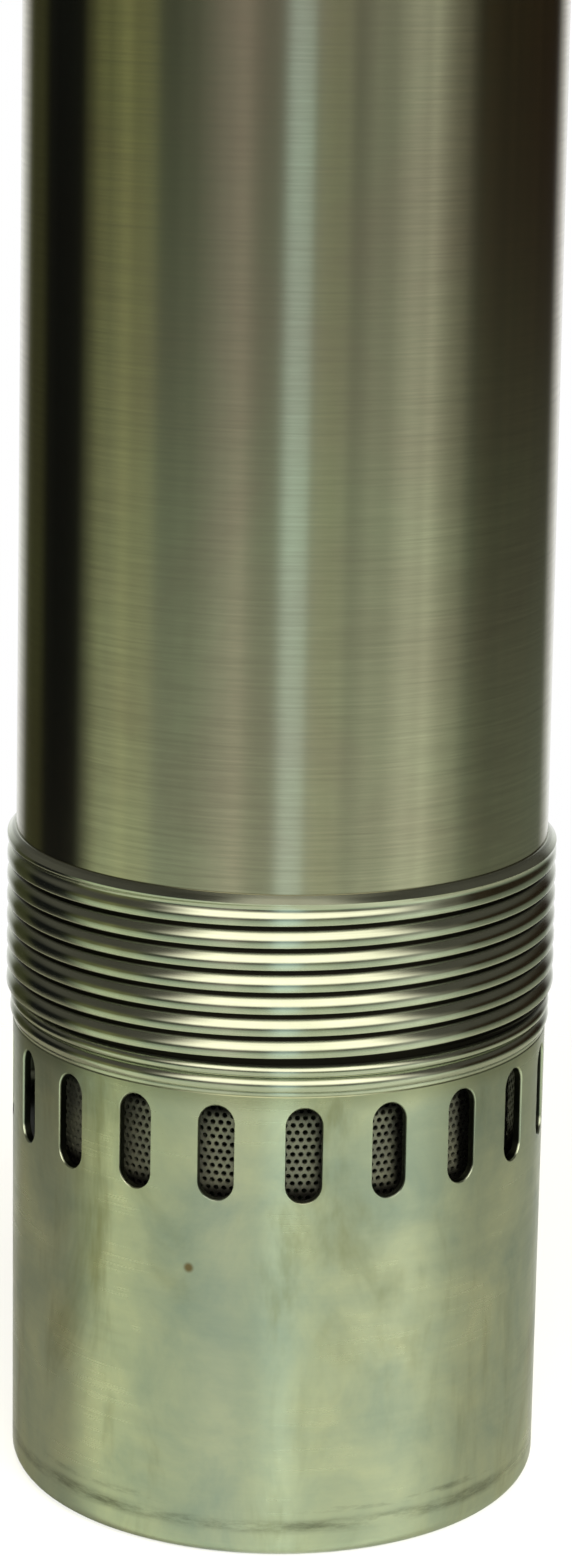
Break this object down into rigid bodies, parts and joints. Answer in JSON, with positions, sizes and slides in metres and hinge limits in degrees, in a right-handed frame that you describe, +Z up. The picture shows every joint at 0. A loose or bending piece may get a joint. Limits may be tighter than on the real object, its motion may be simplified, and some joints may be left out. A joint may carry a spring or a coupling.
{
  "type": "borehole submersible pump",
  "caption": "Upright borehole pump in a round steel jacket, with a slotted suction sleeve and threaded collar below, motor above, and a delivery head with a threaded outlet on top.",
  "frame": {"origin": "centre of the closed base, on the pump's axis", "axes": "+Z up along the pump's axis; -Y is the side that the picture shows; +Y is the cable gland's side"},
  "size_m": [0.1312, 0.1312, 0.86],
  "materials": {
    "brushed_tube": "fine brushing round the tube",
    "satin_steel": "satin",
    "turned_steel": "bright turned",
    "steel_parts": "ground",
    "cast_parts": "painted casting",
    "laminations": "stacked sheet",
    "copper": "varnished copper wire",
    "stage_plastic": "moulded",
    "capacitor_plastic": "moulded",
    "bronze": "turned",
    "seal_face": "lapped face",
    "seal_carbon": "lapped face",
    "black_rubber": "smooth"
  },
  "bodies": {
    "casing": {"suction_sleeve": "satin_steel", "strainer_screen": "satin_steel", "threaded_collar": "turned_steel", "outer_jacket": "brushed_tube", "inlet_plate": "satin_steel", "inlet_oring": "black_rubber", "lower_bush": "bronze", "discharge_lantern": "satin_steel", "seal_seat": "seal_face", "lower_bracket": "cast_parts", "bracket_oring": "black_rubber", "motor_shell": "satin_steel", "stator_core": "laminations", "stator_windings": "copper", "upper_bracket": "cast_parts", "run_capacitor": "capacitor_plastic", "motor_cover": "cast_parts", "cover_oring": "black_rubber", "cable_conduit": "satin_steel", "delivery_head": "satin_steel", "head_oring": "black_rubber", "head_screws": "steel_parts", "valve_seat": "bronze", "gland_bush": "black_rubber", "gland_nut": "steel_parts", "lower_outer_ring": "steel_parts", "upper_outer_ring": "steel_parts", "stage_casing_1": "satin_steel", "diffuser_1": "stage_plastic", "stage_casing_2": "satin_steel", "diffuser_2": "stage_plastic", "stage_casing_3": "satin_steel", "diffuser_3": "stage_plastic", "stage_casing_4": "satin_steel", "diffuser_4": "stage_plastic", "stage_casing_5": "satin_steel", "diffuser_5": "stage_plastic"},
    "rotor": {"shaft": "steel_parts", "impeller_key": "steel_parts", "impeller_nut": "steel_parts", "shaft_spacer": "steel_parts", "seal_ring": "seal_carbon", "rotor_core": "laminations", "lower_inner_ring": "steel_parts", "upper_inner_ring": "steel_parts", "impeller_1": "stage_plastic", "impeller_2": "stage_plastic", "impeller_3": "stage_plastic", "impeller_4": "stage_plastic", "impeller_5": "stage_plastic"},
    "lower_balls": {"lower_ball_set": "steel_parts"},
    "upper_balls": {"upper_ball_set": "steel_parts"},
    "poppet": {"valve_poppet": "bronze", "valve_gasket": "black_rubber", "valve_stop_nut": "steel_parts"}
  },
  "joints": [
    {"name": "rotor_spin", "type": "hinge", "parent": "casing", "child": "rotor", "pos_m": [0, 0, 0], "axis": [0, 0, 1], "continuous": true},
    {"name": "lower_balls_spin", "type": "hinge", "parent": "casing", "child": "lower_balls", "pos_m": [0, 0, 0], "axis": [0, 0, 1], "continuous": true},
    {"name": "upper_balls_spin", "type": "hinge", "parent": "casing", "child": "upper_balls", "pos_m": [0, 0, 0], "axis": [0, 0, 1], "continuous": true},
    {"name": "poppet_lift", "type": "slide", "parent": "casing", "child": "poppet", "axis": [0, 0, 1], "range_m": [0, 0.0097]}
  ],
  "couplings": [
    {"joint": "lower_balls_spin", "follows": "rotor_spin", "ratio": 0.38149},
    {"joint": "upper_balls_spin", "follows": "rotor_spin", "ratio": 0.38149}
  ]
}
